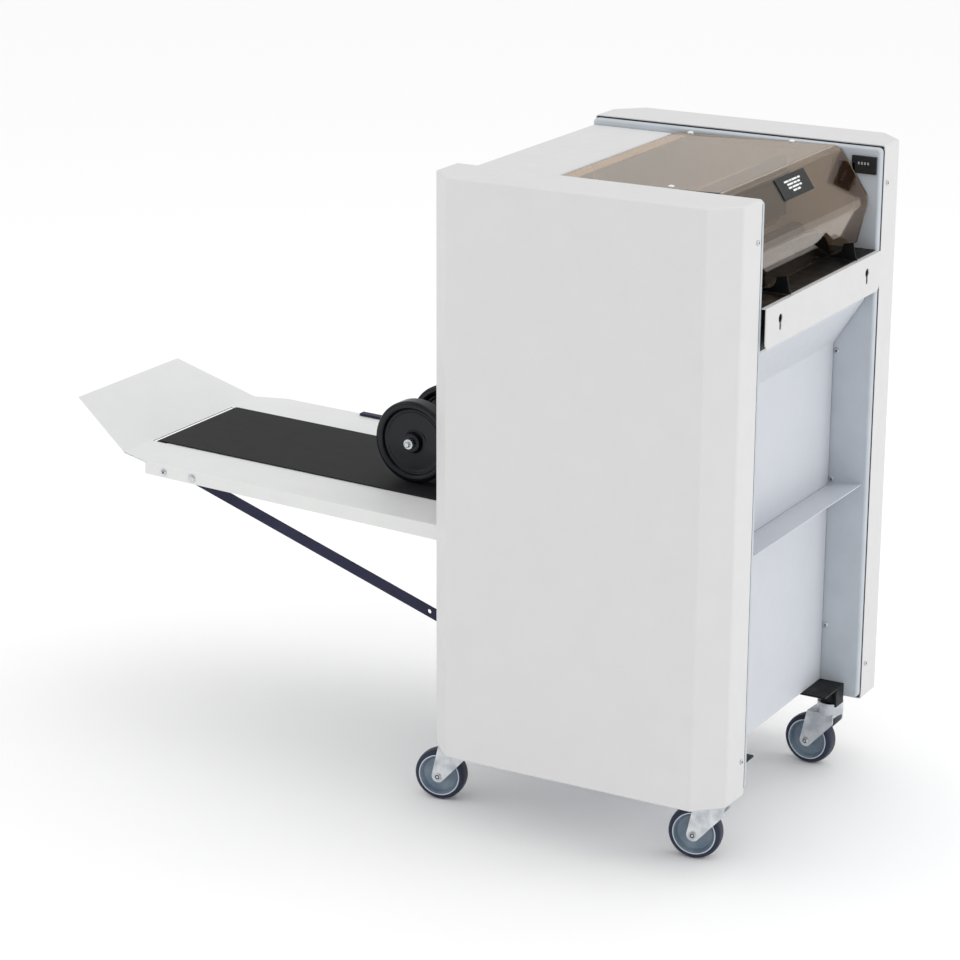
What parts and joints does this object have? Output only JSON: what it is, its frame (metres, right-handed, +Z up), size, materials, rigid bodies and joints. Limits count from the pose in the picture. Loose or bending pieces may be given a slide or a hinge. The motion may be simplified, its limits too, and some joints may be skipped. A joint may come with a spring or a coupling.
{
  "type": "booklet trimmer with belt stacker",
  "caption": "Floor-standing booklet trimmer on swivel casters: pale side covers, smoked lift-up hood, infeed table with side guides, and a belt delivery stacker with press wheels.",
  "frame": {"origin": "centre of the object's footprint box, on the floor under the caster wheels", "axes": "+Z up; +X towards the infeed and docking end, so the stacker is at -X; +Y towards the side with the counter display"},
  "size_m": [1.1515, 0.582, 0.924],
  "materials": {
    "cover_paint": "light grey textured powder coat",
    "frame_paint": "blue-grey powder coat",
    "panel_paint": "pale grey powder coat",
    "dock_white": "white powder coat",
    "black_steel": "black powder coat",
    "navy_steel": "dark navy powder coat",
    "bare_steel": "bright zinc plate",
    "tray_sheet": "light grey powder coat, fine texture",
    "belt_rubber": "matt black rubber",
    "wheel_black": "glossy black moulded plastic",
    "caster_grey": "blue-grey tread and wheel body",
    "smoked_acrylic": "bronze smoked clear acrylic",
    "trim_black": "black moulded plastic",
    "motor_grey": "grey paint on a cast case"
  },
  "bodies": {
    "cabinet": {"side_cover_near": "cover_paint", "side_cover_far": "cover_paint", "deck_cover": "cover_paint", "side_frame_near": "frame_paint", "side_frame_far": "frame_paint", "outfeed_panel": "panel_paint", "infeed_panel": "panel_paint", "base_pan": "panel_paint", "cross_brace": "panel_paint", "docking_plate": "dock_white", "infeed_table": "black_steel", "caster_bracket_infeed_near": "black_steel", "caster_bracket_infeed_far": "black_steel", "caster_bracket_outfeed_near": "black_steel", "caster_bracket_outfeed_far": "black_steel", "hood_hinge_pin": "bare_steel", "lower_blade": "bare_steel", "booklet_chute": "bare_steel", "strut_bolt_near": "bare_steel", "strut_bolt_far": "bare_steel", "counter_display": "trim_black", "power_inlet": "trim_black", "stacker_tray": "tray_sheet", "stacker_belt": "belt_rubber", "tray_strut_near": "navy_steel", "tray_strut_far": "navy_steel", "strut_anchor_near": "navy_steel", "strut_anchor_far": "navy_steel", "tray_edge_strip": "navy_steel", "press_bracket": "navy_steel", "drive_motor": "motor_grey"},
    "hood": {"hood": "smoked_acrylic", "hood_hinge_leaf": "bare_steel"},
    "guide_near": {"side_guide_near": "black_steel"},
    "guide_far": {"side_guide_far": "black_steel"},
    "pinion": {"guide_pinion": "bare_steel"},
    "roller_upper": {"infeed_roller_upper": "belt_rubber"},
    "roller_lower": {"infeed_roller_lower": "belt_rubber"},
    "knife": {"knife_beam": "bare_steel"},
    "blade_drive": {"blade_shaft": "bare_steel"},
    "belt_drive": {"drive_roller": "bare_steel"},
    "belt_idler": {"idler_roller": "bare_steel"},
    "press_lever": {"press_arm": "navy_steel", "press_axle": "bare_steel"},
    "press_roll_near": {"press_wheel_near": "wheel_black"},
    "press_roll_far": {"press_wheel_far": "wheel_black"},
    "drawer": {"waste_drawer": "panel_paint"},
    "rocker": {"power_rocker": "trim_black"},
    "swivel_infeed_near": {"caster_fork_infeed_near": "bare_steel", "caster_axle_infeed_near": "bare_steel"},
    "wheel_infeed_near": {"caster_wheel_infeed_near": "caster_grey"},
    "swivel_infeed_far": {"caster_fork_infeed_far": "bare_steel", "caster_axle_infeed_far": "bare_steel"},
    "wheel_infeed_far": {"caster_wheel_infeed_far": "caster_grey"},
    "swivel_outfeed_near": {"caster_fork_outfeed_near": "bare_steel", "caster_axle_outfeed_near": "bare_steel"},
    "wheel_outfeed_near": {"caster_wheel_outfeed_near": "caster_grey"},
    "swivel_outfeed_far": {"caster_fork_outfeed_far": "bare_steel", "caster_axle_outfeed_far": "bare_steel"},
    "wheel_outfeed_far": {"caster_wheel_outfeed_far": "caster_grey"}
  },
  "joints": [
    {"name": "hood_lift", "type": "hinge", "parent": "cabinet", "child": "hood", "pos_m": [0.25756, 0, 0.9085], "axis": [0, -1, 0], "range_deg": [0, 100]},
    {"name": "guide_near_slide", "type": "slide", "parent": "cabinet", "child": "guide_near", "axis": [0, 1, 0], "range_m": [-0.045, 0.045]},
    {"name": "guide_far_slide", "type": "slide", "parent": "cabinet", "child": "guide_far", "axis": [0, -1, 0], "range_m": [-0.045, 0.045]},
    {"name": "guide_pinion_turn", "type": "hinge", "parent": "cabinet", "child": "pinion", "pos_m": [0.50456, 0, 0.767], "axis": [0, 0, 1], "range_deg": [-215, 215]},
    {"name": "roller_upper_turn", "type": "hinge", "parent": "cabinet", "child": "roller_upper", "pos_m": [0.45256, 0, 0.7946], "axis": [0, 1, 0], "continuous": true},
    {"name": "roller_lower_turn", "type": "hinge", "parent": "cabinet", "child": "roller_lower", "pos_m": [0.45256, 0, 0.768], "axis": [0, -1, 0], "continuous": true},
    {"name": "knife_stroke", "type": "slide", "parent": "cabinet", "child": "knife", "axis": [0, 0, -1], "range_m": [0, 0.03]},
    {"name": "blade_shaft_turn", "type": "hinge", "parent": "cabinet", "child": "blade_drive", "pos_m": [0.40126, 0, 0.85], "axis": [0, 1, 0], "range_deg": [0, 115]},
    {"name": "drive_roller_turn", "type": "hinge", "parent": "cabinet", "child": "belt_drive", "pos_m": [0.14228, 0, 0.39623], "axis": [0, -1, 0], "continuous": true},
    {"name": "idler_roller_turn", "type": "hinge", "parent": "cabinet", "child": "belt_idler", "pos_m": [-0.44545, 0, 0.41419], "axis": [0, -1, 0], "continuous": true},
    {"name": "press_lever_lift", "type": "hinge", "parent": "cabinet", "child": "press_lever", "pos_m": [0.10256, 0, 0.5], "axis": [0, 1, 0], "range_deg": [0, 50]},
    {"name": "press_wheel_near_turn", "type": "hinge", "parent": "press_lever", "child": "press_roll_near", "pos_m": [-0.03144, -0.05, 0.47417], "axis": [0, 1, 0], "continuous": true},
    {"name": "press_wheel_far_turn", "type": "hinge", "parent": "press_lever", "child": "press_roll_far", "pos_m": [-0.03144, 0.05, 0.47417], "axis": [0, 1, 0], "continuous": true},
    {"name": "drawer_slide", "type": "slide", "parent": "cabinet", "child": "drawer", "axis": [-1, 0, 0], "range_m": [0, 0.3]},
    {"name": "power_rocker_tilt", "type": "hinge", "parent": "cabinet", "child": "rocker", "pos_m": [0.12731, -0.07, 0.31], "axis": [0, 1, 0], "range_deg": [0, 20]},
    {"name": "caster_swivel_infeed_near", "type": "hinge", "parent": "cabinet", "child": "swivel_infeed_near", "pos_m": [0.52856, -0.19, 0.115], "axis": [0, 0, 1], "continuous": true},
    {"name": "caster_wheel_infeed_near_turn", "type": "hinge", "parent": "swivel_infeed_near", "child": "wheel_infeed_near", "pos_m": [0.49901, -0.19521, 0.0375], "axis": [-0.1736, 0.9848, 0], "continuous": true},
    {"name": "caster_swivel_infeed_far", "type": "hinge", "parent": "cabinet", "child": "swivel_infeed_far", "pos_m": [0.52856, 0.19, 0.115], "axis": [0, 0, 1], "continuous": true},
    {"name": "caster_wheel_infeed_far_turn", "type": "hinge", "parent": "swivel_infeed_far", "child": "wheel_infeed_far", "pos_m": [0.49863, 0.19209, 0.0375], "axis": [0.0698, 0.9976, 0], "continuous": true},
    {"name": "caster_swivel_outfeed_near", "type": "hinge", "parent": "cabinet", "child": "swivel_outfeed_near", "pos_m": [0.12656, -0.19, 0.115], "axis": [0, 0, 1], "continuous": true},
    {"name": "caster_wheel_outfeed_near_turn", "type": "hinge", "parent": "swivel_outfeed_near", "child": "wheel_outfeed_near", "pos_m": [0.09701, -0.19521, 0.0375], "axis": [-0.1736, 0.9848, 0], "continuous": true},
    {"name": "caster_swivel_outfeed_far", "type": "hinge", "parent": "cabinet", "child": "swivel_outfeed_far", "pos_m": [0.12656, 0.19, 0.115], "axis": [0, 0, 1], "continuous": true},
    {"name": "caster_wheel_outfeed_far_turn", "type": "hinge", "parent": "swivel_outfeed_far", "child": "wheel_outfeed_far", "pos_m": [0.09663, 0.19209, 0.0375], "axis": [0.0698, 0.9976, 0], "continuous": true}
  ],
  "couplings": [
    {"joint": "guide_far_slide", "follows": "guide_near_slide", "ratio": 1},
    {"joint": "guide_pinion_turn", "follows": "guide_near_slide", "rad_per_m": -83.333},
    {"joint": "roller_lower_turn", "follows": "roller_upper_turn", "ratio": 1.1667},
    {"joint": "blade_shaft_turn", "follows": "knife_stroke", "rad_per_m": 66.667},
    {"joint": "idler_roller_turn", "follows": "drive_roller_turn", "ratio": 1}
  ]
}
